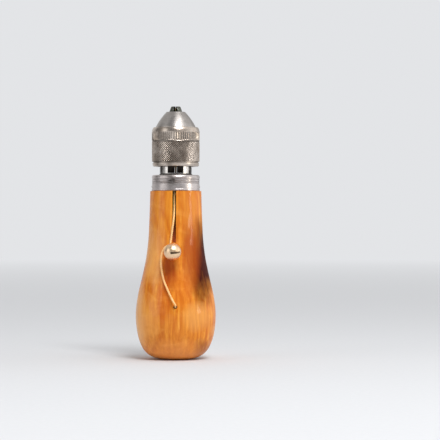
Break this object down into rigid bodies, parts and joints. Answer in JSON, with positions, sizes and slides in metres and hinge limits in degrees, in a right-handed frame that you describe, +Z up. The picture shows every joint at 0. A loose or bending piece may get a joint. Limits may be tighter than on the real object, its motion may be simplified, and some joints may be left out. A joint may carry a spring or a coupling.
{
  "type": "sewing awl",
  "caption": "Hand sewing awl: turned wood handle with a ferrule, tension post and waxed thread, and a split-jaw needle chuck closed by a knurled nut.",
  "frame": {"origin": "middle of the flat foot of the handle", "axes": "+Z up along the awl's axis to the jaws, -Y to the front with the tension post and the thread, +X to the right seen from the front"},
  "size_m": [0.0442, 0.0496, 0.1396],
  "materials": {
    "handle_wood": "clear gloss lacquer",
    "turned_metal": "turned and nickel plated, satin",
    "steel": "satin",
    "nickel": "polished nickel",
    "waxed_thread": "waxed, slight sheen",
    "fibre": "matt pressed fibre",
    "polished_steel": "polished",
    "dark_steel": "black oxide",
    "spool_metal": "satin"
  },
  "bodies": {
    "handle": {"handle": "handle_wood", "ferrule": "turned_metal", "ferrule_brad_right": "steel", "ferrule_brad_left": "steel", "tension_post": "nickel", "thread_line": "waxed_thread"},
    "bobbin": {"bobbin_core": "spool_metal", "bobbin_flange_lower": "spool_metal", "bobbin_flange_upper": "spool_metal", "thread_winding": "waxed_thread", "straight_needle": "steel", "curved_needle": "steel"},
    "washer": {"head_washer": "fibre"},
    "chuck": {"chuck_body": "polished_steel", "jaw_spring": "steel"},
    "jaw_right": {"jaw_right": "dark_steel"},
    "jaw_left": {"jaw_left": "dark_steel"},
    "nose": {"nose_cone": "polished_steel", "nose_retaining_ring": "steel"},
    "nut": {"knurled_sleeve": "turned_metal"}
  },
  "joints": [
    {"name": "bobbin_spin", "type": "hinge", "parent": "handle", "child": "bobbin", "pos_m": [0, 0, 0.0126], "axis": [0, 0, 1], "continuous": true},
    {"name": "head_rise", "type": "slide", "parent": "handle", "child": "washer", "axis": [0, 0, 1], "range_m": [0, 0.0045]},
    {"name": "head_turn", "type": "hinge", "parent": "washer", "child": "chuck", "pos_m": [0, 0, 0.1018], "axis": [0, 0, 1], "range_deg": [0, 1080]},
    {"name": "jaw_right_open", "type": "slide", "parent": "chuck", "child": "jaw_right", "axis": [1, 0, 0], "range_m": [0, 0.0008]},
    {"name": "jaw_left_open", "type": "slide", "parent": "chuck", "child": "jaw_left", "axis": [-1, 0, 0], "range_m": [0, 0.0008]},
    {"name": "nut_travel", "type": "slide", "parent": "chuck", "child": "nose", "axis": [0, 0, 1], "range_m": [0, 0.0105]},
    {"name": "nut_turn", "type": "hinge", "parent": "nose", "child": "nut", "pos_m": [0, 0, 0.1172], "axis": [0, 0, 1], "range_deg": [0, 2520]}
  ],
  "couplings": [
    {"joint": "head_turn", "follows": "head_rise", "rad_per_m": 4188.8},
    {"joint": "nut_turn", "follows": "nut_travel", "rad_per_m": 4188.8},
    {"joint": "jaw_right_open", "follows": "nut_travel", "ratio": 0.07619},
    {"joint": "jaw_left_open", "follows": "nut_travel", "ratio": 0.07619}
  ]
}
